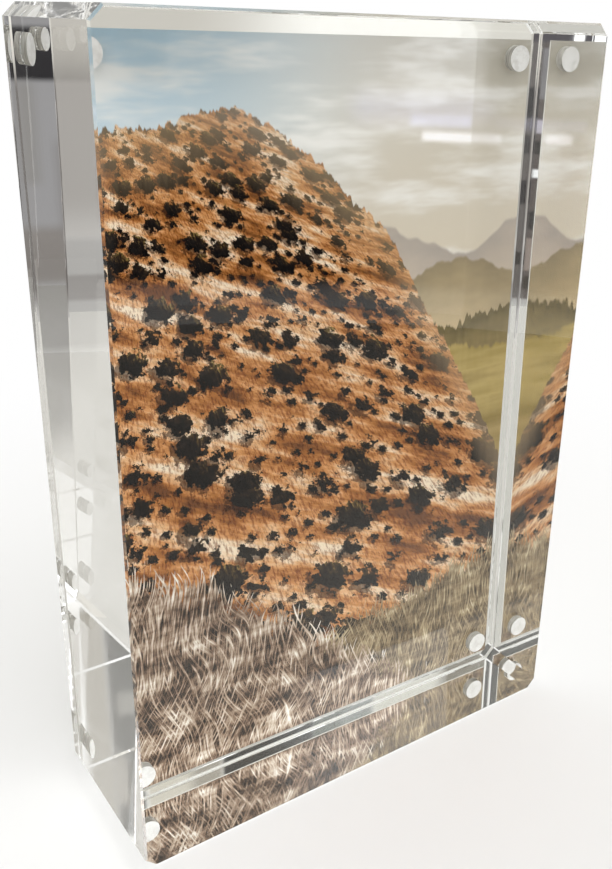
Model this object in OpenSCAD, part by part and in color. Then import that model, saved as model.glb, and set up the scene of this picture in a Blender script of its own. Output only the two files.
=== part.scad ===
// Magnetic photo frame: a thick clear acrylic block, a thin clear plate behind it and one
// photographic print between them. A pair of disc magnets in each corner, one let into the block
// and one into the plate, pulls the plate on and pinches the corners of the print.
// X runs across the picture, Y from the front face to the back, and Z up.
// The origin is the middle of the footprint, at table height.

/* [Print] */
// Width of the print, the short side of a standard 4 by 6 inch photo
print_w = 101.6; // [50:0.1:300]
// Height of the print, the long side of the same photo
print_h = 152.4; // [50:0.1:400]
// Thickness of the photographic paper
print_t = 0.25; // [0.1:0.05:0.6]
// Free play of the print, in front of it and again behind it
print_play = 0.05; // [0.02:0.01:0.3]
// How far the print has settled below the middle of the block
print_drop = 0.4; // [0:0.1:1]

/* [Acrylic] */
// Clear margin at the left and at the right of the print
side_margin = 2.8; // [1:0.1:20]
// Clear margin above and below the print
end_margin = 3.2; // [1.5:0.1:20]
// Depth of the thick front block
block_d = 34.4; // [10:0.1:60]
// Depth of the thin back plate
plate_d = 4.2; // [3.5:0.1:20]
// Straight cut across each corner of the outline, measured along each side
corner_cut = 2.3; // [0.5:0.1:4]
// Fine polished arris along the edges of the front, back and joining faces
arris = 0.4; // [0.1:0.05:0.8]

/* [Magnets] */
// Distance of each magnet's axis from the two outer sides nearest to it
magnet_inset = 7.3; // [6:0.1:15]
// Diameter of the disc magnets
magnet_dia = 5; // [3:0.1:8]
// Length of the magnets in the front block
front_magnet_l = 3; // [1:0.1:5]
// Length of the magnets in the back plate
back_magnet_l = 2; // [1:0.1:2.5]
// Broken edge of the magnets
magnet_chamfer = 0.2; // [0.05:0.05:0.3]
// Free ring round each magnet in its hole
magnet_clearance = 0.1; // [0.02:0.01:0.2]
// How far each magnet lies below the face that its hole opens in
magnet_recess = 0.05; // [0.02:0.01:0.2]
// Thickness of the white adhesive at the bottom of each hole
glue_t = 0.15; // [0.05:0.05:0.3]

/* [Hidden] */
// Outer width and height, and the space that the print lies in
frame_w = print_w + 2 * side_margin;
frame_h = print_h + 2 * end_margin;
print_gap = print_t + 2 * print_play;
frame_d = block_d + print_gap + plate_d;

// Places along Y, from the front face to the back
front_y = -frame_d / 2;
block_back_y = front_y + block_d;
print_y = block_back_y + print_play;
plate_front_y = block_back_y + print_gap;

// Lowest edge of the print
print_z = end_margin - print_drop;

// The blind holes, drilled for the magnet, its recess and the adhesive under it
bore_dia = magnet_dia + 2 * magnet_clearance;
front_bore_l = front_magnet_l + magnet_recess + glue_t;
back_bore_l = back_magnet_l + magnet_recess + glue_t;

// The holes are cut past the faces that they open in
overrun = 1;

// Sides of a full circle
$fn = 96;

// The four corners, seen from the front: a name, then the side and the end that each is at
CORNERS = [
    ["top_left", -1, 1],
    ["top_right", 1, 1],
    ["bottom_left", -1, -1],
    ["bottom_right", 1, -1],
];
// The small pieces that repeat in every corner
CORNER_PIECES = ["front_magnet", "back_magnet", "front_adhesive", "back_adhesive"];

CLEAR = [0.86, 0.9, 0.9, 0.35];
NICKEL = [0.72, 0.72, 0.7];
ADHESIVE = [0.95, 0.95, 0.92];
PICTURE = [0.78, 0.6, 0.42];

// A rectangle about the origin with each corner cut off straight
module cut_rectangle(across, along, cut) {
    x = across / 2;
    y = along / 2;
    polygon([
        [-x + cut, -y], [x - cut, -y], [x, -y + cut], [x, y - cut],
        [x - cut, y], [-x + cut, y], [-x, y - cut], [-x, -y + cut],
    ]);
}

// A long or short bar with that section, centred on the origin
module cut_bar(across, along, cut, length) {
    linear_extrude(length, center = true)
        cut_rectangle(across, along, cut);
}

// A slab of the frame's outline with a fine arris round its front and its back.
// The first bar has the outline and runs front to back. Each further bar is longer than the slab
// and takes the arris off one pair of opposite sides: top and bottom, left and right, and then
// the two pairs of corner cuts.
module arrised_slab(depth) {
    reach = frame_w + frame_h;
    cut_span = (frame_w + frame_h - 2 * corner_cut) / sqrt(2);
    intersection() {
        rotate([90, 0, 0])
            cut_bar(frame_w, frame_h, corner_cut, depth);
        rotate([90, 0, 90])
            cut_bar(depth, frame_h, arris, reach);
        cut_bar(frame_w, depth, arris, reach);
        intersection_for (turn = [-45, 45])
            rotate([0, turn, 0])
                cut_bar(cut_span, depth, arris, reach);
    }
}

// Moves a corner's piece, drawn round the Y axis, to that corner
module at_corner(corner) {
    x = corner[1] * (frame_w / 2 - magnet_inset);
    z = frame_h / 2 + corner[2] * (frame_h / 2 - magnet_inset);
    translate([x, 0, z])
        children();
}

// A plain disc round the Y axis, from the given place backwards
module disc(y, dia, length) {
    translate([0, y + length, 0])
        rotate([90, 0, 0])
            cylinder(d = dia, h = length);
}

// A disc magnet round the Y axis, turned with a broken edge at both ends
module magnet_disc(y, length) {
    r = magnet_dia / 2;
    translate([0, y + length, 0])
        rotate([90, 0, 0])
            rotate_extrude()
                polygon([
                    [0, 0], [r - magnet_chamfer, 0], [r, magnet_chamfer],
                    [r, length - magnet_chamfer], [r - magnet_chamfer, length], [0, length],
                ]);
}

// The thick block that the picture is seen through, drilled from behind for its magnets
module front_block() {
    color(CLEAR)
        difference() {
            translate([0, front_y + block_d / 2, frame_h / 2])
                arrised_slab(block_d);
            for (corner = CORNERS)
                at_corner(corner)
                    disc(block_back_y - front_bore_l, bore_dia, front_bore_l + overrun);
        }
}

// The thin plate that comes off, drilled from in front for its magnets
module back_plate() {
    color(CLEAR)
        difference() {
            translate([0, plate_front_y + plate_d / 2, frame_h / 2])
                arrised_slab(plate_d);
            for (corner = CORNERS)
                at_corner(corner)
                    disc(plate_front_y - overrun, bore_dia, back_bore_l + overrun);
        }
}

// The loose photographic print
module photo_print() {
    color(PICTURE)
        translate([-print_w / 2, print_y, print_z])
            cube([print_w, print_t, print_h]);
}

// A magnet in the front block, just below the block's back face
module front_magnet(corner) {
    color(NICKEL)
        at_corner(corner)
            magnet_disc(block_back_y - magnet_recess - front_magnet_l, front_magnet_l);
}

// A magnet in the back plate, just below the plate's front face
module back_magnet(corner) {
    color(NICKEL)
        at_corner(corner)
            magnet_disc(plate_front_y + magnet_recess, back_magnet_l);
}

// The white adhesive between a front magnet and the bottom of its hole
module front_adhesive(corner) {
    color(ADHESIVE)
        at_corner(corner)
            disc(block_back_y - front_bore_l, magnet_dia, glue_t);
}

// The white adhesive between a back magnet and the bottom of its hole
module back_adhesive(corner) {
    color(ADHESIVE)
        at_corner(corner)
            disc(plate_front_y + back_bore_l - glue_t, magnet_dia, glue_t);
}

front_block();
photo_print();
back_plate();
for (corner = CORNERS) {
    front_magnet(corner);
    back_magnet(corner);
    front_adhesive(corner);
    back_adhesive(corner);
}
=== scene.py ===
# %% [markdown]
# # A magnetic photo frame, dressed in Blender
# The object is a thick block of clear acrylic with a thin clear plate behind it. A print lies
# between the two, and four pairs of small magnets hold the plate on.
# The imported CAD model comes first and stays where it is. This lesson adds what the eye needs:
# clear plastic that bends and mirrors light, nickel, white adhesive, and a printed picture.

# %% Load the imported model
import math

import bmesh
import bpy
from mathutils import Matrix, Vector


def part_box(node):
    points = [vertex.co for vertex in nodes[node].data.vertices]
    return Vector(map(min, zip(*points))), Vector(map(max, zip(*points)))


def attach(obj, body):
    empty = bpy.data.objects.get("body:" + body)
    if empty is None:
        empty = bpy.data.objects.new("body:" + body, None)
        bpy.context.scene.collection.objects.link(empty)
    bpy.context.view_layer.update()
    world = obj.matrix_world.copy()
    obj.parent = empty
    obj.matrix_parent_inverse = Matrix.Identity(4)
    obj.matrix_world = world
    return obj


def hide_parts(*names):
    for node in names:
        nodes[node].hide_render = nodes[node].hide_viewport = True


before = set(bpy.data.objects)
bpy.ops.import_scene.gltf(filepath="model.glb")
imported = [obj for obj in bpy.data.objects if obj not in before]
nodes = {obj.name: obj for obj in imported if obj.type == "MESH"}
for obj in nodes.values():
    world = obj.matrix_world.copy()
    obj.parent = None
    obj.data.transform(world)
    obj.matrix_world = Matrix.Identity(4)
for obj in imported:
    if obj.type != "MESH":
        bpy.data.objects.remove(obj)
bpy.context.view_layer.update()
MM = 0.001
print("nodes:", len(nodes))

# %% [markdown]
# ## The camera
# The photograph looks down a little at the left front edge. Its outline and the known size of the
# frame give the place, the turn and the focal length of a camera that sees the same picture.
# The image had been cropped, so the lens is shifted by that much.

# %% Place the camera
CAMERA_MM = (-108.37, -162.17, 157.23)
CAMERA_TURN_DEG = (67.941, -1.873, -35.881)
LENS_MM = 40.768
SENSOR_MM = 36
SHIFT = (-0.07370, -0.01367)
NEAR_MM = 10

camera_data = bpy.data.cameras.new("photo_camera")
camera_data.lens = LENS_MM
camera_data.sensor_width = SENSOR_MM
camera_data.shift_x, camera_data.shift_y = SHIFT
camera_data.clip_start = NEAR_MM * MM
camera = bpy.data.objects.new("photo_camera", camera_data)
camera.location = [c * MM for c in CAMERA_MM]
camera.rotation_euler = [math.radians(angle) for angle in CAMERA_TURN_DEG]
bpy.context.scene.collection.objects.link(camera)
bpy.context.scene.camera = camera
print("camera at", CAMERA_MM, "mm, lens", LENS_MM, "mm")

# %% [markdown]
# ## Helpers for every material
# Colours are written as sRGB hex values, the way a paint program shows them. Blender calculates
# with linear light, so one function converts them.
# Another function adds a node, sets its values and makes its links in one go. Five kinds of node
# come back again and again, so their long names get short ones here.

# %% Write the helpers
WHITE = (1.0, 1.0, 1.0, 1.0)
MATHS = "ShaderNodeMath"
VECTORS = "ShaderNodeVectorMath"
RANGE = "ShaderNodeMapRange"
MIX = "ShaderNodeMixRGB"
RAMP = "ShaderNodeValToRGB"
# The setting that lets a range leave its start and reach its end gently
SMOOTH = {"interpolation_type": "SMOOTHSTEP"}


def linear(code):
    """An sRGB hex colour as linear red, green, blue and alpha."""
    shares = [int(code[i:i + 2], 16) / 255 for i in (1, 3, 5)]
    light = [s / 12.92 if s <= 0.04045 else ((s + 0.055) / 1.055) ** 2.4 for s in shares]
    return (*light, 1.0)


def add(tree, kind, sets=None, links=None, stops=None):
    """A new node. A name or number of an input is set there, and any other name on the node.

    The stops of a colour ramp are pairs of a place and a hex colour."""
    node = tree.nodes.new(kind)
    for key, value in (sets or {}).items():
        if isinstance(key, int) or key in node.inputs:
            node.inputs[key].default_value = value
        else:
            setattr(node, key, value)
    for key, source in (links or {}).items():
        socket = source.outputs[0] if hasattr(source, "outputs") else source
        tree.links.new(socket, node.inputs[key])
    for number, (position, code) in enumerate(stops or []):
        points = node.color_ramp.elements
        point = points[number] if number < len(points) else points.new(1.0)
        point.position = position
        point.color = linear(code)
    return node


def new_material(name):
    """An empty material and its node tree."""
    material = bpy.data.materials.new(name)
    material.use_nodes = True
    material.node_tree.nodes.clear()
    return material, material.node_tree


print("#808080 is", round(linear("#808080")[0], 3), "in linear light")

# %% [markdown]
# ## The table
# The frame stands on a pale matt table, about as wide as a tea table. A flat round is all that it
# needs, so it is a circle with its middle filled. It lies a hair below the frame, because two faces
# in one plane would flicker.

# %% Make the table
TABLE_RADIUS_MM = 360
TABLE_MIDDLE_MM = (0, -20, -0.2)
TABLE_SIDES = 128

table_mesh = bmesh.new()
bmesh.ops.create_circle(
    table_mesh, cap_ends=True, segments=TABLE_SIDES, radius=TABLE_RADIUS_MM * MM)
table_data = bpy.data.meshes.new("table")
table_mesh.to_mesh(table_data)
table_mesh.free()
table = bpy.data.objects.new("table", table_data)
table.location = [c * MM for c in TABLE_MIDDLE_MM]
bpy.context.scene.collection.objects.link(table)
print("table radius", TABLE_RADIUS_MM, "mm")

# %% [markdown]
# ## The table's lacquer
# The acrylic shows the table as the light grey that a lacquered board has indoors, and shows where
# it ends and the room begins. In front of the frame the board is darker, as in the shade of
# somebody who bends over it.
# For the camera alone the same board is white and runs out into plain white, so that the frame
# stands on a white ground and still keeps its soft shadow.

# %% Paint the table
SPECK_MM = 3
# Where the shade starts and where it is full, from front to back
SHADE_MM = (-50, -110)
# How far from the middle the plain white starts, and where nothing else is left
FADE_MM = (110, 300)

lacquer_paint, tree = new_material("matt_table_lacquer")
place = add(tree, "ShaderNodeTexCoord")
specks = add(tree, "ShaderNodeTexNoise", {"Scale": 1 / (SPECK_MM * MM), "Detail": 3.0},
             {"Vector": place.outputs["Object"]})
lacquer = add(tree, MIX, {"Color1": linear("#c8c6c1"), "Color2": linear("#ceccc8")}, {"Fac": specks})
parts = add(tree, "ShaderNodeSeparateXYZ", links={0: place.outputs["Object"]})
in_front = add(tree, RANGE, {**SMOOTH, "From Min": SHADE_MM[0] * MM, "From Max": SHADE_MM[1] * MM},
               {"Value": parts.outputs["Y"]})
shaded = add(tree, MIX, {"Color2": linear("#8b8986")}, {"Fac": in_front, "Color1": lacquer})
ray = add(tree, "ShaderNodeLightPath")
white = add(tree, MIX, {"Color2": linear("#e8e8e8")},
            {"Fac": ray.outputs["Is Camera Ray"], "Color1": shaded})
matt = add(tree, "ShaderNodeBsdfDiffuse", links={"Color": white})
distance = add(tree, VECTORS, {"operation": "LENGTH"}, {0: place.outputs["Object"]})
fade = add(tree, RANGE, {**SMOOTH, "From Min": FADE_MM[0] * MM, "From Max": FADE_MM[1] * MM},
           {"Value": distance.outputs["Value"]})
seen = add(tree, MATHS, {"operation": "MULTIPLY"}, {0: fade, 1: ray.outputs["Is Camera Ray"]})
plain = add(tree, "ShaderNodeEmission", {"Color": WHITE, "Strength": 1.0})
surface = add(tree, "ShaderNodeMixShader", links={0: seen, 1: matt, 2: plain})
add(tree, "ShaderNodeOutputMaterial", links={"Surface": surface})
table_data.materials.append(lacquer_paint)
print("the table fades to white between", FADE_MM, "mm")

# %% [markdown]
# ## The room behind the frame
# Clear acrylic shows almost nothing of itself. What the eye reads as acrylic is the room, seen
# through it and mirrored in its edges, so the room needs light and dark areas.
# The world paints them by direction: an azimuth, where 0 is straight behind the frame and 90 is
# to its right, and an elevation above the horizon. Later areas lie over earlier ones.

# %% Describe the room behind
# Each area: middle and half width of azimuth, middle and half height of elevation, softness, all
# in degrees, then its colour and how strongly it shines
ROOM_AREAS = [
    # Wall, lighter towards its top and towards the right, and the floor below it
    ((18, 62), (-4, 8), 3, "#b3aea8", 1.0),
    ((18, 62), (1.5, 4), 1.2, "#d6d1c8", 1.0),
    ((47, 16), (1.5, 3.5), 2.5, "#ece8df", 1.0),
    ((18, 62), (-14.5, 3), 0.3, "#c0bebb", 1.0),
    ((18, 12), (-14.2, 0.7), 0.15, "#a19d9a", 1.0),
    # Dark chest of drawers to the right, and a dark room to the left
    ((47, 20), (-9, 6), 1, "#6b6663", 1.0),
    ((-40, 31), (-5, 10), 2, "#77726e", 1.0),
    ((-40, 12), (-5.5, 7.5), 0.6, "#4b464b", 1.0),
]
print("areas so far:", len(ROOM_AREAS))

# %% [markdown]
# ## Furniture to the left
# The clear margin beside the print shows two narrow upright slices of the room, one in each half.
# A bookcase with dark shelves fills the first one. A dresser with a pale bowl and a lamp on it
# fills the second one. Both are stacks of bands between the same azimuths, so a loop adds them.

# %% Describe the furniture
SHARP_DEG = 0.08
FURNITURE = [
    # Azimuths, then the bands from the outline inwards: elevations, colour, strength
    ((-44.4, 0.88), [
        ((-7.5, 6.9), "#68625f", 1.0), ((-3.7, 0.8), "#2b2828", 1.0), ((-5.9, 0.5), "#433f3f", 1.0),
        ((-8.5, 0.65), "#302a2b", 1.0), ((-12.15, 0.35), "#302b28", 1.0)]),
    ((-46.1, 0.8), [
        ((-7.5, 6.9), "#5d5450", 1.0), ((-2.2, 1.3), "#848183", 1.0), ((-4.95, 0.35), "#bcb5bc", 1.0),
        ((-6.05, 0.35), "#302b28", 1.0), ((-7.45, 0.22), "#ffffff", 1.1), ((-10, 0.5), "#2d2825", 1.0),
        ((-11.9, 0.9), "#978981", 1.0), ((-13.5, 0.35), "#3c352e", 1.0)]),
]
for azimuths, bands in FURNITURE:
    for elevations, colour, strength in bands:
        ROOM_AREAS.append((azimuths, elevations, SHARP_DEG, colour, strength))
ROOM_AREAS += [
    # Two small ceiling lamps, and a lit floor with a dark sideboard further right
    ((-48.2, 0.25), (-0.6, 0.7), SHARP_DEG, "#ffffff", 2.4),
    ((-47.1, 0.25), (-0.6, 0.7), SHARP_DEG, "#ffffff", 2.4),
    ((-17, 8), (-7.5, 4.5), 1.5, "#94908c", 1.0),
    ((-17, 8), (-2, 1.33), 0.2, "#4a4849", 1.0),
]
print("areas so far:", len(ROOM_AREAS))

# %% [markdown]
# ## The camera's side of the room
# The front face mirrors this side faintly over the picture. A tall window gives the broad glow, and
# strips of window low in the next room give the bright lines. The rest is dim, so that the picture
# keeps its dark parts.

# %% Describe the camera's side
ROOM_AREAS += [
    # Skylights, high above the camera
    ((154, 56), (52, 34), 8, "#ffffff", 1.9),
    # Blue grey wall above a dark floor, with a dark opening at eye height and a few upright lines
    ((176, 56), (-6, 9), 2, "#9c9b9d", 1.0),
    ((176, 56), (-12.4, 1.5), 0.4, "#857f7b", 1.0),
    ((179, 24), (-2, 1.3), 0.2, "#1f1e22", 1.0),
    ((162.4, 0.45), (-6, 2.6), 0.4, "#8f8d8b", 1.0),
    ((160.6, 0.5), (-9, 2.6), 0.5, "#7f7b7a", 1.0),
    ((163.9, 0.35), (-8.4, 2.6), 0.4, "#8f8b8a", 1.0),
    # Tall window with a curtain at one side, and bright strips of window low in the next room
    ((140, 18.5), (-9.8, 4.2), 0.5, "#343233", 1.0),
    ((145.5, 5), (4, 9), 4, "#fbfcff", 2.4),
    ((141.2, 3.5), (4, 9), 0.4, "#fbfcff", 2.4),
    ((141, 3.9), (-4.3, 0.7), 0.8, "#c9cdf0", 3.0),
    ((134.5, 2.5), (-4.85, 0.3), 0.25, "#c9cdf0", 1.8),
    ((140, 1.7), (-4.85, 0.3), 0.25, "#cfd6ff", 4.5),
    ((138.8, 2.2), (-5.7, 0.25), 0.2, "#eef1ff", 5.5),
    ((226.6, 0.7), (-5.6, 0.25), 0.15, "#f4f2ff", 5.5),
]
print("areas so far:", len(ROOM_AREAS))

# %% [markdown]
# ## Beams high up
# The bottom edge of the block mirrors what is high up behind the frame. In the strip under the
# print it shows as light and dark bars, which are beams and a cornice here.

# %% Describe the beams
ROOM_AREAS += [
    # Behind the frame
    ((18.5, 0.8), (38, 6), 0.3, "#aba599", 1.0),
    ((20.3, 1), (38, 6), 0.3, "#383632", 1.0),
    ((20.5, 0.7), (37.3, 0.6), 0.3, "#8f8c85", 1.0),
    ((19.7, 0.5), (41.2, 1.2), 0.4, "#a39d93", 1.0),
    ((23.2, 1.7), (40, 7), 0.3, "#ddd7c9", 1.0),
    ((25.8, 1.2), (40, 7), 0.6, "#aaa397", 1.0),
    ((34.5, 1.4), (40, 7), 0.4, "#656a63", 1.0),
    ((36.5, 1.2), (40, 7), 0.4, "#848884", 1.0),
    ((40, 2.4), (40, 7), 0.3, "#cccabe", 1.0),
    ((43.8, 1.7), (40, 7), 0.5, "#7a7365", 1.0),
    ((30.1, 3.2), (40, 7), 0.15, "#121214", 1.0),
    ((-48, 7), (36, 5), 0.6, "#2c2b29", 1.0),
    # On the camera's side
    ((162, 14), (40, 9), 3, "#b5afa4", 1.0),
]
print("areas in all:", len(ROOM_AREAS))

# %% [markdown]
# ## Directions in the world
# A world texture coordinate is a direction of length 1. Its X and Y give the azimuth, and its Z
# gives the elevation. The azimuth jumps by a full turn somewhere, so the jump is put where
# nothing is painted.

# %% Measure directions
JUMP_DEG = -100

world = bpy.data.worlds.new("pale_room")
world.use_nodes = True
bpy.context.scene.world = world
tree = world.node_tree
tree.nodes.clear()
direction = add(tree, "ShaderNodeTexCoord")
parts = add(tree, "ShaderNodeSeparateXYZ", links={0: direction.outputs["Generated"]})
turn = add(tree, MATHS, {"operation": "ARCTAN2"}, {0: parts.outputs["X"], 1: parts.outputs["Y"]})
turned_deg = add(tree, MATHS, {"operation": "DEGREES"}, {0: turn})
azimuth = add(tree, MATHS, {"operation": "WRAP", 1: JUMP_DEG + 360, 2: JUMP_DEG}, {0: turned_deg})
rise = add(tree, MATHS, {"operation": "ARCSINE"}, {0: parts.outputs["Z"]})
elevation = add(tree, MATHS, {"operation": "DEGREES"}, {0: rise})
print("azimuths run from", JUMP_DEG, "to", JUMP_DEG + 360, "degrees")

# %% [markdown]
# ## Paint for the room
# The ceiling and everything that has no area of its own is one pale tone. Each area is mixed over
# what is there already, where both its azimuth and its elevation fit.
# The camera itself sees plain white instead of the room.

# %% Paint the room
CEILING = "#f6f5f2"
CEILING_STRENGTH = 1.1


def inside(value, middle, half, blur):
    """1 where the value is within half of the middle, and 0 outside, with a blurred border."""
    off = add(tree, MATHS, {"operation": "SUBTRACT", 1: middle}, {0: value})
    size = add(tree, MATHS, {"operation": "ABSOLUTE"}, {0: off})
    return add(tree, RANGE, {**SMOOTH, "From Min": half + blur, "From Max": half - blur},
               {"Value": size})


room = add(tree, "ShaderNodeRGB")
room.outputs[0].default_value = [c * CEILING_STRENGTH for c in linear(CEILING)]
for azimuths, elevations, blur, colour, strength in ROOM_AREAS:
    side = inside(azimuth, *azimuths, blur)
    height = inside(elevation, *elevations, blur)
    area = add(tree, MATHS, {"operation": "MULTIPLY"}, {0: side, 1: height})
    light = [c * strength for c in linear(colour)]
    room = add(tree, MIX, {"Color2": light}, {"Fac": area, "Color1": room})
lit = add(tree, "ShaderNodeBackground", {"Strength": 1.0}, {"Color": room})
plain = add(tree, "ShaderNodeBackground", {"Color": WHITE, "Strength": 1.0})
ray = add(tree, "ShaderNodeLightPath")
shown = add(tree, "ShaderNodeMixShader", links={0: ray.outputs["Is Camera Ray"], 1: lit, 2: plain})
add(tree, "ShaderNodeOutputWorld", links={"Surface": shown})
print("nodes in the world:", len(tree.nodes))

# %% [markdown]
# ## How light finds its way through the block
# The colours are shown plainly, with Blender's Standard view.
# Light that enters a side of the block can be mirrored twenty times between its faces before it
# leaves, so the limits on such bounces go up. Shadow rays, which pass straight through, have a
# limit of their own. Blender also blurs glass for rays that leave a matt surface, which would darken
# the print behind it, so that is switched off.

# %% Set the view and the bounces
SIDE_BOUNCES = 48
SHADOW_BOUNCES = 24
ALL_BOUNCES = 64

scene = bpy.context.scene
scene.view_settings.view_transform = "Standard"
scene.cycles.max_bounces = ALL_BOUNCES
scene.cycles.glossy_bounces = SIDE_BOUNCES
scene.cycles.transmission_bounces = SIDE_BOUNCES
scene.cycles.transparent_max_bounces = SHADOW_BOUNCES
scene.cycles.blur_glossy = 0.0
print("bounces up to", ALL_BOUNCES)

# %% [markdown]
# ## Clear acrylic
# Cast acrylic sheet is as clear as window glass, with a smooth face straight from the mould. Its
# sawn edges are polished afterwards, which leaves faint waves that run along them.
# A Principled shader with full transmission bends and mirrors light at the index of acrylic, 1.49.
# Shadows are a different matter: a shadow ray passes straight through with a little loss, because
# Blender can't aim light through a bend.

# %% Make the acrylic
ACRYLIC_IOR = 1.49
SHADOW_PASS = 0.95
# The waves of the polish: their width from front to back, how slowly they change along an edge as
# a share of that, their depth, and how much of it the shading shows
WAVE_MM = 1.1
WAVE_STRETCH = 0.03
WAVE_DEPTH_MM = 0.02
WAVE_STRENGTH = 0.05
# How squarely a face looks forwards or back: above the first value it has no waves, and below the
# second one it has all of them
EDGE_FACING = (0.6, 0.4)

acrylic, tree = new_material("polished_cast_acrylic")
place = add(tree, "ShaderNodeTexCoord")
geometry = add(tree, "ShaderNodeNewGeometry")
facing = add(tree, "ShaderNodeSeparateXYZ", links={0: geometry.outputs["True Normal"]})
face_on = add(tree, MATHS, {"operation": "ABSOLUTE"}, {0: facing.outputs["Y"]})
edge = add(tree, RANGE, {"From Min": EDGE_FACING[0], "From Max": EDGE_FACING[1]}, {"Value": face_on})
stretched = add(tree, VECTORS, {"operation": "MULTIPLY", 1: (WAVE_STRETCH, 1.0, WAVE_STRETCH)},
                {0: place.outputs["Object"]})
waves = add(tree, "ShaderNodeTexNoise", {"Scale": 1 / (WAVE_MM * MM), "Detail": 2.0},
            {"Vector": stretched})
depth = add(tree, MATHS, {"operation": "MULTIPLY"}, {0: waves, 1: edge})
bump = add(tree, "ShaderNodeBump", {"Strength": WAVE_STRENGTH, "Distance": WAVE_DEPTH_MM * MM},
           {"Height": depth})
clear = add(tree, "ShaderNodeBsdfPrincipled", {
    "Base Color": linear("#fcfdfc"), "Roughness": 0.0, "IOR": ACRYLIC_IOR,
    "Transmission Weight": 1.0}, {"Normal": bump})
straight = add(tree, "ShaderNodeBsdfTransparent", {
    "Color": (SHADOW_PASS, SHADOW_PASS, SHADOW_PASS, 1.0)})
ray = add(tree, "ShaderNodeLightPath")
surface = add(tree, "ShaderNodeMixShader",
              links={0: ray.outputs["Is Shadow Ray"], 1: clear, 2: straight})
add(tree, "ShaderNodeOutputMaterial", links={"Surface": surface})

for name in ("front_block", "back_plate"):
    nodes[name].data.materials.clear()
    nodes[name].data.materials.append(acrylic)
    print(name, "is clear acrylic")

# %% [markdown]
# ## Turned pieces
# The magnets and the drops of adhesive are round, as if turned on a lathe. So one helper makes
# either: it spins a profile, half of the section, round an axis. Faces that meet at less than the
# sharp angle are shaded as one smooth surface.

# %% Write the turning helper
TURN_STEPS = 96
SHARP_ANGLE = math.radians(40)


def turned(name, middle, profile, material):
    """A mesh object: the profile, in metres, spun round the Y axis through the middle."""
    mesh = bmesh.new()
    rings = []
    for r, y in profile:
        if r == 0:
            rings.append([mesh.verts.new((middle[0], middle[1] + y, middle[2]))])
            continue
        ring = []
        for i in range(TURN_STEPS):
            angle = 2 * math.pi * i / TURN_STEPS
            ring.append(mesh.verts.new((
                middle[0] + r * math.cos(angle), middle[1] + y, middle[2] + r * math.sin(angle))))
        rings.append(ring)
    for a, b in zip(rings, rings[1:]):
        for i in range(TURN_STEPS):
            j = (i + 1) % TURN_STEPS
            if len(a) == 1:
                mesh.faces.new((a[0], b[j], b[i]))
            elif len(b) == 1:
                mesh.faces.new((a[i], a[j], b[0]))
            else:
                mesh.faces.new((a[i], a[j], b[j], b[i]))
    bmesh.ops.recalc_face_normals(mesh, faces=mesh.faces)
    data = bpy.data.meshes.new(name)
    mesh.to_mesh(data)
    mesh.free()
    data.materials.append(material)
    for face in data.polygons:
        face.use_smooth = True
    data.set_sharp_from_angle(angle=SHARP_ANGLE)
    piece = bpy.data.objects.new(name, data)
    bpy.context.scene.collection.objects.link(piece)
    return piece


print("a turned piece has", TURN_STEPS, "sides")

# %% [markdown]
# ## Nickel plating
# Disc magnets are sintered and tumbled, and then plated with nickel against rust. To the eye that is
# a warm grey metal, neither bright nor matt, whose gloss and colour vary a little from spot to spot.

# %% Plate with nickel
MOTTLE_MM = 0.6
MOTTLE_DEPTH_MM = 0.02

nickel, tree = new_material("tumbled_nickel_plating")
place = add(tree, "ShaderNodeTexCoord")
mottle = add(tree, "ShaderNodeTexNoise", {"Scale": 1 / (MOTTLE_MM * MM), "Detail": 4.0},
             {"Vector": place.outputs["Object"]})
polish = add(tree, RANGE, {"To Min": 0.12, "To Max": 0.3}, {"Value": mottle})
tint = add(tree, RAMP, links={"Fac": mottle}, stops=[(0.0, "#b4aea2"), (1.0, "#cfc9bd")])
bump = add(tree, "ShaderNodeBump", {"Strength": 0.2, "Distance": MOTTLE_DEPTH_MM * MM},
           {"Height": mottle})
metal = add(tree, "ShaderNodeBsdfPrincipled", {"Metallic": 1.0},
            {"Base Color": tint, "Roughness": polish, "Normal": bump})
add(tree, "ShaderNodeOutputMaterial", links={"Surface": metal})
print("nodes in the plating:", len(tree.nodes))

# %% [markdown]
# ## Magnets
# Tumbling rounds the edges of a disc. The CAD discs have a plain broken edge, so each is replaced
# by a turned disc of the same size, whose profile has a row of points for each rounded edge.

# %% Turn the magnets
CORNERS = ("top_left", "top_right", "bottom_left", "bottom_right")
BODY_OF = {"front": "block", "back": "plate"}
EDGE_RADIUS_MM = 0.3
EDGE_STEPS = 5


def disc_profile(radius, length, edge_radius):
    """Points (distance from the axis, place along it) of half a disc with rounded edges."""
    points = [(0.0, 0.0)]
    for i in range(EDGE_STEPS + 1):
        angle = math.pi / 2 * i / EDGE_STEPS
        points.append((radius - edge_radius * (1 - math.sin(angle)),
                       edge_radius * (1 - math.cos(angle))))
    mirrored = [(r, length - y) for r, y in reversed(points)]
    return points + mirrored


for side, body in BODY_OF.items():
    for corner in CORNERS:
        node = f"{side}_magnet_{corner}"
        low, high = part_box(node)
        middle = ((low.x + high.x) / 2, low.y, (low.z + high.z) / 2)
        profile = disc_profile((high.x - low.x) / 2, high.y - low.y, EDGE_RADIUS_MM * MM)
        magnet = turned(f"{side}_disc_magnet_{corner}", middle, profile, nickel)
        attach(magnet, body)
        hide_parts(node)
    print(side, "magnets:", len(CORNERS), "on the", body)

# %% [markdown]
# ## Cured adhesive
# White adhesive holds each magnet in its hole. It wets the acrylic, so through the block the eye
# sees a slightly uneven white disc. The magnet has pressed some of it up round itself, where it is
# a thin film with streaks, and the grey of the metal shows through.
# One material does both: the disc where a face looks forwards or back, and the film elsewhere.

# %% Mix the adhesive
CLOUD_MM = 1.6
STREAK_MM = (4, 0.55, 4)
CLOUD_DEPTH_MM = 0.05

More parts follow.
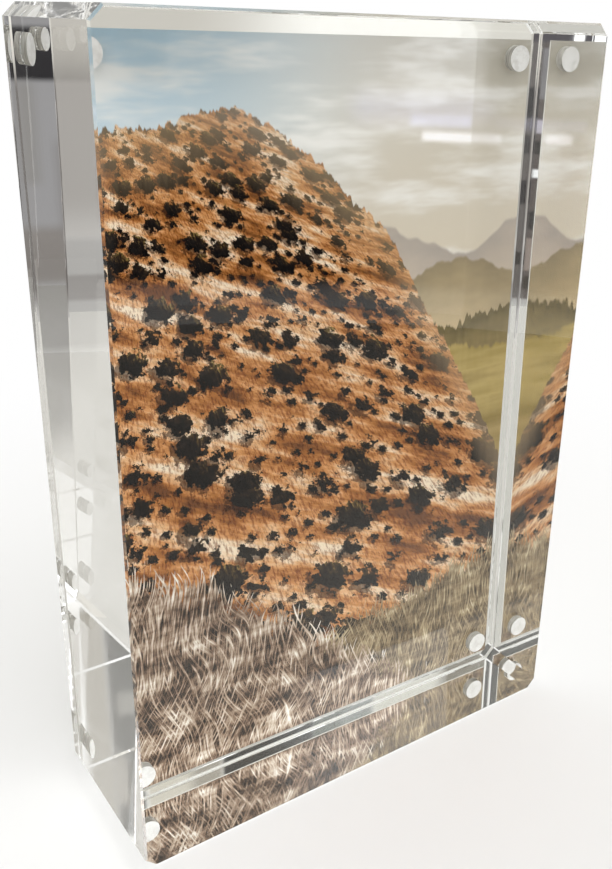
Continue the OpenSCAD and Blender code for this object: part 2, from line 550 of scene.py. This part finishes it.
glue, tree = new_material("white_cured_adhesive")
place = add(tree, "ShaderNodeTexCoord")
cloud = add(tree, "ShaderNodeTexNoise", {"Scale": 1 / (CLOUD_MM * MM), "Detail": 5.0, "Roughness": 0.6},
            {"Vector": place.outputs["Object"]})
thick = add(tree, RAMP, links={"Fac": cloud}, stops=[(0.3, "#e4e2de"), (0.6, "#fdfdfb")])
ringed = add(tree, VECTORS, {"operation": "MULTIPLY", 1: [1 / (size * MM) for size in STREAK_MM]},
             {0: place.outputs["Object"]})
rings = add(tree, "ShaderNodeTexNoise", {"Scale": 1.0, "Detail": 3.0}, {"Vector": ringed})
thin = add(tree, RAMP, links={"Fac": rings},
           stops=[(0.34, "#85827b"), (0.5, "#a6a39b"), (0.66, "#cbc9c2")])
geometry = add(tree, "ShaderNodeNewGeometry")
facing = add(tree, "ShaderNodeSeparateXYZ", links={0: geometry.outputs["True Normal"]})
face_on = add(tree, MATHS, {"operation": "ABSOLUTE"}, {0: facing.outputs["Y"]})
tint = add(tree, MIX, links={"Fac": face_on, "Color1": thin, "Color2": thick})
bump = add(tree, "ShaderNodeBump", {"Strength": 0.3, "Distance": CLOUD_DEPTH_MM * MM},
           {"Height": cloud})
matt = add(tree, "ShaderNodeBsdfPrincipled", {"Roughness": 0.45}, {"Base Color": tint, "Normal": bump})
add(tree, "ShaderNodeOutputMaterial", links={"Surface": matt})
print("nodes in the adhesive:", len(tree.nodes))

# %% [markdown]
# ## Drops of adhesive
# A drop fills the bottom of its hole and the narrow ring round the magnet, so its mesh is a
# shallow cup. It reaches a hair into the acrylic on purpose: with nothing between them, light that
# crosses the acrylic meets the adhesive directly.

# %% Fill the holes
# How far a drop reaches into the acrylic, how wide the ring round a magnet is, and how far the film
# stops short of the magnet's open end
WET_MM = 0.01
RING_MM = 0.1
FILM_SHORT_MM = 0.15


def cup_profile(outer, inner, floor, length):
    """Points (distance from the axis, place along it) of half a cup that opens along the axis."""
    return [(0.0, 0.0), (outer, 0.0), (outer, length), (inner, length), (inner, floor), (0.0, floor)]


for side, body in BODY_OF.items():
    for corner in CORNERS:
        node = f"{side}_adhesive_{corner}"
        low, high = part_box(node)
        magnet_low, magnet_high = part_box(f"{side}_magnet_{corner}")
        floor = high.y - low.y + WET_MM * MM
        length = floor + magnet_high.y - magnet_low.y - FILM_SHORT_MM * MM
        radius = (high.x - low.x) / 2
        profile = cup_profile(radius + (RING_MM + WET_MM) * MM, radius + WET_MM * MM, floor, length)
        start = low.y - WET_MM * MM
        if side == "back":
            start = high.y + WET_MM * MM
            profile = [(r, -y) for r, y in profile]
        middle = ((low.x + high.x) / 2, start, (low.z + high.z) / 2)
        drop = turned(f"{side}_adhesive_drop_{corner}", middle, profile, glue)
        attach(drop, body)
        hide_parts(node)
    print(side, "drops:", len(CORNERS), "each", round(length / MM, 2), "mm deep")

# %% [markdown]
# ## The print
# The print is coated photographic paper: a picture in front, plain white paper behind and at the
# cut edges. Its material is built in steps, from the back of the picture to the front.

# %% Start the paper
paper, tree = new_material("coated_photo_paper")
low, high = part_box("photo_print")
print("print in mm:", [round(c / MM, 2) for c in high - low])

# %% [markdown]
# ## The picture: its sheet
# The picture is a generic landscape in warm, dry colours, painted by nodes alone. Every size in it
# is a size on the paper, so the first nodes measure the sheet in millimetres from its lower left
# corner.

# %% Measure the sheet
SHEET_MM = [round(side / MM, 2) for side in (high.x - low.x, high.z - low.z)]

place = add(tree, "ShaderNodeTexCoord")
from_corner = add(tree, VECTORS, {"operation": "SUBTRACT", 1: (low.x, 0, low.z)},
                  {0: place.outputs["Object"]})
in_mm = add(tree, VECTORS, {"operation": "SCALE", "Scale": 1 / MM}, {0: from_corner})
sides = add(tree, "ShaderNodeSeparateXYZ", links={0: in_mm})
across = sides.outputs["X"]
up = sides.outputs["Z"]
sheet = add(tree, "ShaderNodeCombineXYZ", links={"X": across, "Y": up})
print("the picture is", SHEET_MM[0], "by", SHEET_MM[1], "mm")

# %% [markdown]
# ## The picture: its grain
# Clouds, fields, leaves and grass all start from flat noise. This helper sets the width and the
# height of its grains in millimetres, so that each pattern has the size that it needs on paper.

# %% Write the grain helper
def grain(size_mm, seed, detail=2.0, rough=0.5, vector=sheet):
    """Flat noise with grains of a width and a height in mm, mostly between 0.3 and 0.7."""
    scaled = add(tree, VECTORS, {
        "operation": "MULTIPLY_ADD", 1: (1 / size_mm[0], 1 / size_mm[1], 0), 2: (seed, seed, 0)},
        {0: vector})
    return add(tree, "ShaderNodeTexNoise", {
        "noise_dimensions": "2D", "Scale": 1.0, "Detail": detail, "Roughness": rough},
        {"Vector": scaled})


print("grain helper ready")

# %% [markdown]
# ## The picture: sky
# The sky is pale blue at the top left and hazy and warm at the right, with thin stretched clouds.

# %% Paint the sky
SKY_FROM_MM = 96
# From left to right, where the sky turns from cool to warm
WARMER_MM = (15, 70)
# The noise at which a cloud starts and is full, and how much of the sky a full one covers
CLOUD_NOISE = (0.44, 0.7)
CLOUD_COVER = 0.8

height = add(tree, RANGE, {"From Min": SKY_FROM_MM, "From Max": SHEET_MM[1]}, {"Value": up})
cool = add(tree, RAMP, links={"Fac": height}, stops=[
    (0.0, "#eee2d0"), (0.3, "#e6e1d8"), (0.6, "#d6e3ea"), (1.0, "#bdd8e8")])
warm = add(tree, RAMP, links={"Fac": height}, stops=[
    (0.0, "#e6dac5"), (0.5, "#ddd4c5"), (1.0, "#cfcabd")])
to_right = add(tree, RANGE, {**SMOOTH, "From Min": WARMER_MM[0], "From Max": WARMER_MM[1]},
               {"Value": across})
picture = add(tree, MIX, links={"Fac": to_right, "Color1": cool, "Color2": warm})
streaks = grain((46, 10), seed=3.1, detail=4.0, rough=0.6)
cloud = add(tree, RANGE, {
    **SMOOTH, "From Min": CLOUD_NOISE[0], "From Max": CLOUD_NOISE[1], "To Max": CLOUD_COVER},
    {"Value": streaks})
picture = add(tree, MIX, {"Color2": linear("#fefcf8")}, {"Fac": cloud, "Color1": picture})
print("nodes so far:", len(tree.nodes))

# %% [markdown]
# ## The picture: crest lines
# Each hill and each bank of grass is everything below a crest line. The line follows a few
# given points, wanders a little, and has fine teeth for the plants that stand on it.

# %% Write the crest helper
def below_crest(points, wander, teeth, soft_mm, seed):
    """How far below a crest line the sheet is, in mm, and a mask for it."""
    width = add(tree, RANGE, {"From Min": 0, "From Max": SHEET_MM[0]}, {"Value": across})
    line = add(tree, "ShaderNodeFloatCurve", links={"Value": width})
    curve = line.mapping.curves[0]
    while len(curve.points) < len(points):
        curve.points.new(0.5, 0.5)
    for point, (x, y) in zip(curve.points, points):
        point.location = (x, y)
    line.mapping.update()
    crest = add(tree, MATHS, {"operation": "MULTIPLY", 1: SHEET_MM[1]}, {0: line})
    for step, (length_mm, height_mm) in enumerate((wander, teeth)):
        along = add(tree, MATHS, {
            "operation": "MULTIPLY_ADD", 1: 1 / length_mm, 2: seed + step}, {0: across})
        noise = add(tree, "ShaderNodeTexNoise", {
            "noise_dimensions": "1D", "Scale": 1.0, "Detail": 3.0}, {"W": along})
        centred = add(tree, MATHS, {"operation": "SUBTRACT", 1: 0.5}, {0: noise})
        crest = add(tree, MATHS, {"operation": "MULTIPLY_ADD", 1: 2 * height_mm},
                    {0: centred, 2: crest})
    depth = add(tree, MATHS, {"operation": "SUBTRACT"}, {0: crest, 1: up})
    mask = add(tree, RANGE, {**SMOOTH, "From Min": -soft_mm, "From Max": soft_mm}, {"Value": depth})
    return depth, mask


print("crest helper ready")

# %% [markdown]
# ## The picture: far hills
# Haze takes away contrast with distance, so the farthest hill is the palest, and each hill melts
# into haze towards its foot.

# %% Paint the far hills
FAR_HILLS = [
    # Crest points as shares of the sheet, length and height in mm of the wander and of the teeth,
    # softness, colour at the crest, colour in the haze, depth at which the haze is full
    ([(0, .80), (.3, .78), (.6, .765), (.8, .73), (1, .755)], (34, 7), (5, 1.0), 0.5,
     "#b9afa6", "#dacbb9", 20),
    ([(0, .76), (.35, .72), (.62, .70), (.85, .70), (1, .675)], (28, 6), (4, 1.4), 0.45,
     "#9f9176", "#cdb892", 20),
    ([(0, .70), (.4, .66), (.7, .64), (.9, .605), (1, .62)], (22, 5), (1.8, 2.6), 0.35,
     "#6b5f3d", "#b39e6c", 22),
]
HAZE_FROM_MM = 3
HAZE_UNEVEN_MM = 8.0

for number, (points, wander, teeth, blur_mm, crest_colour, low_colour, haze_mm) in enumerate(FAR_HILLS):
    depth, mask = below_crest(points, wander, teeth, blur_mm, seed=10.0 * (number + 1))
    texture = grain((7, 3), seed=5.0 + number, detail=3.0)
    uneven = add(tree, MATHS, {"operation": "MULTIPLY_ADD", 1: HAZE_UNEVEN_MM}, {0: texture, 2: depth})
    into_haze = add(tree, RANGE, {"From Min": HAZE_FROM_MM, "From Max": haze_mm}, {"Value": uneven})
    colour = add(tree, RAMP, links={"Fac": into_haze}, stops=[(0.0, crest_colour), (1.0, low_colour)])
    picture = add(tree, MIX, links={"Fac": mask, "Color1": picture, "Color2": colour})
print("far hills:", len(FAR_HILLS))

# %% [markdown]
# ## The picture: valley floor
# Below the last far hill lies a wide valley in olive and straw. It is out of focus, so its fields
# are long soft bands.

# %% Paint the valley floor
# Depths below the crest between which the fields lie, and how far their borders stray
FIELDS_MM = (14, 104)
FIELDS_STRAY_MM = 40.0

valley_depth, valley_mask = below_crest(
    [(0, .62), (.35, .60), (.6, .585), (.85, .57), (1, .56)], (20, 2.5), (1.6, 1.4), 0.5, seed=71.0)
bands = grain((55, 7), seed=41.0, detail=3.0, rough=0.6)
band_place = add(tree, MATHS, {"operation": "MULTIPLY_ADD", 1: FIELDS_STRAY_MM},
                 {0: bands, 2: valley_depth})
downwards = add(tree, RANGE, {"From Min": FIELDS_MM[0], "From Max": FIELDS_MM[1]},
                {"Value": band_place})
fields = add(tree, RAMP, links={"Fac": downwards}, stops=[
    (0.0, "#a08c4a"), (0.12, "#c4ae72"), (0.24, "#9a8650"), (0.4, "#bfa774"), (0.55, "#8f7750"),
    (0.78, "#b69d78"), (1.0, "#806849")])
picture = add(tree, MIX, links={"Fac": valley_mask, "Color1": picture, "Color2": fields})
print("nodes so far:", len(tree.nodes))

# %% [markdown]
# ## The picture: the near slope
# A dry slope falls from the left. Its ground is warm ochre. The lower a point lies, the nearer it
# is, so the pattern grows towards the bottom: the sheet is divided by that growth before the
# pattern is laid on it.

# %% Paint the ground of the slope
# Where the ground would meet the horizon, and how far below it the pattern is twice as large
HORIZON_MM = 146.0
NEARNESS_MM = 28.0
GROUND_TILT_DEG = 28
# The noise at which the dark between tufts starts and is full, and how dark it is then
TUFT_NOISE = (0.56, 0.34)
TUFT_DARKNESS = 0.7

slope_depth, slope_mask = below_crest(
    [(0, .87), (.14, .905), (.3, .905), (.46, .86), (.62, .765), (.78, .62), (.9, .49), (1, .37)],
    (24, 5), (1.3, 1.6), 0.25, seed=83.0)
below = add(tree, MATHS, {"operation": "SUBTRACT", 0: HORIZON_MM}, {1: up})
growth = add(tree, MATHS, {"operation": "MULTIPLY_ADD", 1: 1 / NEARNESS_MM, 2: 1.0}, {0: below})
row_log = add(tree, MATHS, {"operation": "LOGARITHM", 1: math.e}, {0: growth})
row = add(tree, MATHS, {"operation": "MULTIPLY", 1: -NEARNESS_MM}, {0: row_log})
column = add(tree, MATHS, {"operation": "DIVIDE"}, {0: across, 1: growth})
ground_at = add(tree, "ShaderNodeCombineXYZ", links={"X": column, "Y": row})
tilted = add(tree, "ShaderNodeVectorRotate", {
    "rotation_type": "Z_AXIS", "Angle": math.radians(GROUND_TILT_DEG)}, {"Vector": ground_at})
patches = grain((6.5, 1.9), seed=17.0, detail=5.0, rough=0.62, vector=tilted)
ground = add(tree, RAMP, links={"Fac": patches}, stops=[
    (0.32, "#734623"), (0.42, "#b07239"), (0.50, "#d99c62"), (0.57, "#ecc295"), (0.66, "#fcebd2")])
tufts = grain((0.16, 0.55), seed=31.0, detail=3.0, rough=0.7, vector=ground_at)
tuft_dark = add(tree, RANGE, {
    **SMOOTH, "From Min": TUFT_NOISE[0], "From Max": TUFT_NOISE[1], "To Max": TUFT_DARKNESS},
    {"Value": tufts})
ground = add(tree, MIX, {"blend_type": "MULTIPLY", "Color2": linear("#96643c")},
             {"Fac": tuft_dark, "Color1": ground})
print("nodes so far:", len(tree.nodes))

# %% [markdown]
# ## The picture: shrubs
# A shrub is a dark spot. A Voronoi texture gives each one a cell, the cell's random colour sets
# its size, and the offset from the middle of the cell shades it, with light from the upper right.

# %% Write the shrub helper
LIGHT_LEAN = (0.55, 0.83, 0)
SHRUB_WIDTH_TO_HEIGHT = 1.2
# In shares of a cell, where the outline of a shrub starts and where the shrub is solid
OUTLINE = (-0.015, 0.03)


def shrubs(cells_from, cell_mm, shift, least, most):
    """A mask for shrubs in cells of a size, and how lit each point of a shrub is."""
    cells_at = add(tree, VECTORS, {
        "operation": "MULTIPLY_ADD", 1: (1 / cell_mm, SHRUB_WIDTH_TO_HEIGHT / cell_mm, 0),
        2: (*shift, 0)}, {0: cells_from})
    cells = add(tree, "ShaderNodeTexVoronoi", {
        "voronoi_dimensions": "2D", "Scale": 1.0, "Randomness": 0.85}, {"Vector": cells_at})
    chance = add(tree, "ShaderNodeSeparateColor", links={0: cells.outputs["Color"]})
    size = add(tree, RANGE, {"To Min": least, "To Max": most}, {"Value": chance.outputs[0]})
    inner = add(tree, MATHS, {"operation": "SUBTRACT"}, {0: size, 1: cells.outputs["Distance"]})
    offset = add(tree, VECTORS, {"operation": "SUBTRACT"}, {0: cells_at, 1: cells.outputs["Position"]})
    lean = add(tree, VECTORS, {"operation": "DOT_PRODUCT", 1: LIGHT_LEAN}, {0: offset})
    mask = add(tree, RANGE, {**SMOOTH, "From Min": OUTLINE[0], "From Max": OUTLINE[1]},
               {"Value": inner})
    return mask, lean.outputs["Value"]


print("shrub helper ready")

# %% [markdown]
# ## The picture: shrubs on the slope
# Small shrubs are scattered over the slope, and larger ones over those. Each layer is drawn twice,
# once shifted to the lower left as its own shadow and once in its place. Noise moves the sheet
# under it, which makes the outlines ragged. Near its crest the slope takes up light from the sky.

# %% Scatter the shrubs
# In shares of a cell: the shift of a shadow, the grain of a ragged outline and how far it strays
SHADOW_SHIFT = (0.17, 0.13)
RAGGED_GRAIN = 0.24
RAGGED_STRAY = 0.7
SHADOW_DARKNESS = 0.75
# How much the leaves vary the light on a shrub, and the values at which it is darkest and lightest
LEAF_CONTRAST = 1.1
LEAF_LIGHT = (0.2, 1.05)
# How far below the crest the light of the sky reaches, and how strong it is at the crest
CREST_GLOW_MM = 16
CREST_GLOW = 0.3
SHRUBS = [
    # Cell in mm, seed, least and most radius as shares of a cell
    (1.05, 57.0, -0.1, 0.36),
    (2.5, 51.0, 0.1, 0.48),
]

for cell_mm, seed, least, most in SHRUBS:
    ragged_mm = cell_mm * RAGGED_GRAIN
    rough_edge = grain((ragged_mm, ragged_mm), seed, detail=3.0, rough=0.7, vector=ground_at)
    edge_by = add(tree, VECTORS, {"operation": "SCALE", "Scale": cell_mm * RAGGED_STRAY},
                  {0: rough_edge.outputs["Color"]})
    moved = add(tree, VECTORS, {"operation": "ADD"}, {0: ground_at, 1: edge_by})
    shadow, _ = shrubs(moved, cell_mm, SHADOW_SHIFT, least, most)
    shade = add(tree, MATHS, {"operation": "MULTIPLY", 1: SHADOW_DARKNESS}, {0: shadow})
    ground = add(tree, MIX, {"blend_type": "MULTIPLY", "Color2": linear("#4c382b")},
                 {"Fac": shade, "Color1": ground})
    mask, lean = shrubs(moved, cell_mm, (0, 0), least, most)
    leaf_light = add(tree, MATHS, {"operation": "MULTIPLY_ADD", 1: LEAF_CONTRAST}, {0: tufts, 2: lean})
    to_light = add(tree, RANGE, {"From Min": LEAF_LIGHT[0], "From Max": LEAF_LIGHT[1]},
                   {"Value": leaf_light})
    foliage = add(tree, RAMP, links={"Fac": to_light}, stops=[
        (0.0, "#050403"), (0.45, "#120d0a"), (0.68, "#2c2015"), (0.85, "#54401f"), (1.0, "#8f7a45")])
    ground = add(tree, MIX, links={"Fac": mask, "Color1": ground, "Color2": foliage})

glow = add(tree, RANGE, {**SMOOTH, "From Min": CREST_GLOW_MM, "From Max": 0, "To Max": CREST_GLOW},
           {"Value": slope_depth})
ground = add(tree, MIX, {"Color2": linear("#dcc09a")}, {"Fac": glow, "Color1": ground})
picture = add(tree, MIX, links={"Fac": slope_mask, "Color1": picture, "Color2": ground})
print("nodes so far:", len(tree.nodes))

# %% [markdown]
# ## The picture: blades of grass
# Grass is noise stretched into upright blades. A shift that grows with the height makes them lean,
# and a slow noise in that shift makes them sway.

# %% Write the blade helper
BLADE_STRETCH = 14


def blades_of(seed, blade_mm, lean, sway_mm):
    """Upright blades: noise stretched upwards, leaning to one side and swaying a little."""
    sway = grain((34, 26), seed, detail=1.0)
    sway_by = add(tree, MATHS, {"operation": "MULTIPLY", 1: sway_mm}, {0: sway})
    slant = add(tree, MATHS, {"operation": "MULTIPLY_ADD", 1: lean}, {0: up, 2: sway_by})
    sideways = add(tree, "ShaderNodeCombineXYZ", links={"X": slant})
    bent = add(tree, VECTORS, {"operation": "ADD"}, {0: sheet, 1: sideways})
    return grain((blade_mm, blade_mm * BLADE_STRETCH), seed + 1, rough=0.6, vector=bent)


print("blade helper ready")

# %% [markdown]
# ## The picture: grass in front
# Pale dry grass fills the lower left corner, over a bank of darker grass along the lower edge.
# Some blades lean left and some right, and it is dark between them.

# %% Grow the grass
# Where the middle of a bank's ragged upper edge lies, as a share of its height, and its softness
BLADE_MIDDLE = 0.56
BLADE_SOFT_MM = 0.4
# How much the blades count beside the clumps, and the values of both at the roots and at the tips
BLADE_CONTRAST = 1.6
ROOT_TO_TIP = (1.0, 1.85)
GRASS = [
    # Crest points, seed, blade width and bank height in mm, colours from root to tip
    ([(0, .10), (.4, .13), (.65, .15), (.85, .19), (1, .21)], 131.0, 0.42, 20.0, [
        (0.0, "#2b2217"), (0.3, "#66563f"), (0.55, "#968264"), (0.8, "#bfae8c"), (1.0, "#e2d5ba")]),
    ([(0, .33), (.15, .31), (.32, .235), (.5, .14), (.66, .06), (.78, 0.0), (1, 0.0)],
     151.0, 0.5, 26.0, [
        (0.0, "#100b09"), (0.24, "#463529"), (0.46, "#8f7561"), (0.7, "#cdbaa6"), (1.0, "#fffaf2")]),
]

for points, seed, blade_mm, height_mm, colours in GRASS:
    right = blades_of(seed, blade_mm, lean=-0.35, sway_mm=12.0)
    left = blades_of(seed + 20, blade_mm * 1.3, lean=0.25, sway_mm=-14.0)
    blades = add(tree, MATHS, {"operation": "MAXIMUM"}, {0: right, 1: left})
    depth, _ = below_crest(points, (18, 5), (5, 2.0), BLADE_SOFT_MM, seed + 2)
    ragged = add(tree, MATHS, {"operation": "MULTIPLY_ADD", 1: height_mm}, {0: blades, 2: depth})
    middle_mm = height_mm * BLADE_MIDDLE
    mask = add(tree, RANGE, {
        **SMOOTH, "From Min": middle_mm - BLADE_SOFT_MM, "From Max": middle_mm + BLADE_SOFT_MM},
        {"Value": ragged})
    clumps = grain((11, 4.5), seed + 5, detail=3.0, rough=0.6)
    light = add(tree, MATHS, {"operation": "MULTIPLY_ADD", 1: BLADE_CONTRAST}, {0: blades, 2: clumps})
    to_tip = add(tree, RANGE, {"From Min": ROOT_TO_TIP[0], "From Max": ROOT_TO_TIP[1]},
                 {"Value": light})
    colour = add(tree, RAMP, links={"Fac": to_tip}, stops=colours)
    picture = add(tree, MIX, links={"Fac": mask, "Color1": picture, "Color2": colour})
print("nodes so far:", len(tree.nodes))

# %% [markdown]
# ## The paper round the picture
# Only the face that looks forwards carries the picture. The back and the cut edges are white, with
# the faint cloudiness of paper fibres. Under the acrylic, whose own faces mirror the room, the gloss
# of the coating hardly shows, so it is set low, and the dark parts of the picture stay dark.

# %% Finish the paper
# A face that looks forwards has a normal whose Y is below this
FORWARDS = -0.5

geometry = add(tree, "ShaderNodeNewGeometry")
facing = add(tree, "ShaderNodeSeparateXYZ", links={0: geometry.outputs["True Normal"]})
front = add(tree, MATHS, {"operation": "LESS_THAN", 1: FORWARDS}, {0: facing.outputs["Y"]})
pulp = grain((1.8, 1.4), seed=91.0, detail=4.0, rough=0.7)
fibres = add(tree, RAMP, links={"Fac": pulp}, stops=[(0.3, "#e9e8e3"), (0.7, "#f6f5f1")])
colour = add(tree, MIX, links={"Fac": front, "Color1": fibres, "Color2": picture})
coating = grain((2.5, 2.5), seed=97.0)
roughness = add(tree, RANGE, {"To Min": 0.22, "To Max": 0.3}, {"Value": coating})
glossy = add(tree, "ShaderNodeBsdfPrincipled", {"Specular IOR Level": 0.06},
             {"Base Color": colour, "Roughness": roughness})
add(tree, "ShaderNodeOutputMaterial", links={"Surface": glossy})
nodes["photo_print"].data.materials.clear()
nodes["photo_print"].data.materials.append(paper)
print("nodes in the paper's material:", len(tree.nodes))
